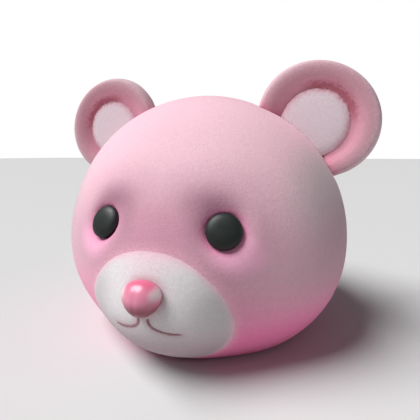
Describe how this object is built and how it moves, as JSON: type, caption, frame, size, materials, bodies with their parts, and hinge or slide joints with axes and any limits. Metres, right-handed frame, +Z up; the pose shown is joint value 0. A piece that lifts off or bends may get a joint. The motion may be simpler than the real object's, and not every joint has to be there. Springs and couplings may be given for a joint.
{
  "type": "bear mask",
  "caption": "Full-head plush bear mask: padded hollow head open at the neck, muzzle panel, round dished ears, button eyes and nose, stitched mouth.",
  "frame": {"origin": "on the floor plane of the neck rim, at the middle of the mask's width and depth", "axes": "+Z up through the crown, -Y the way the face looks, +X towards the bear's left ear"},
  "size_m": [0.4244, 0.3686, 0.3342],
  "materials": {
    "pink_plush": "short soft pile, matte with a pale sheen",
    "white_plush": "short soft pile, matte",
    "black_button": "satin black",
    "rose_button": "glossy rose pink",
    "mouth_thread": "satin-stitched thread"
  },
  "bodies": {
    "root": {"head_shell": "pink_plush", "ear_left": "pink_plush", "ear_right": "pink_plush", "muzzle": "white_plush", "inner_ear_left": "white_plush", "inner_ear_right": "white_plush", "eye_left": "black_button", "eye_right": "black_button", "nose": "rose_button", "mouth_line_left": "mouth_thread", "mouth_line_right": "mouth_thread"}
  },
  "joints": []
}
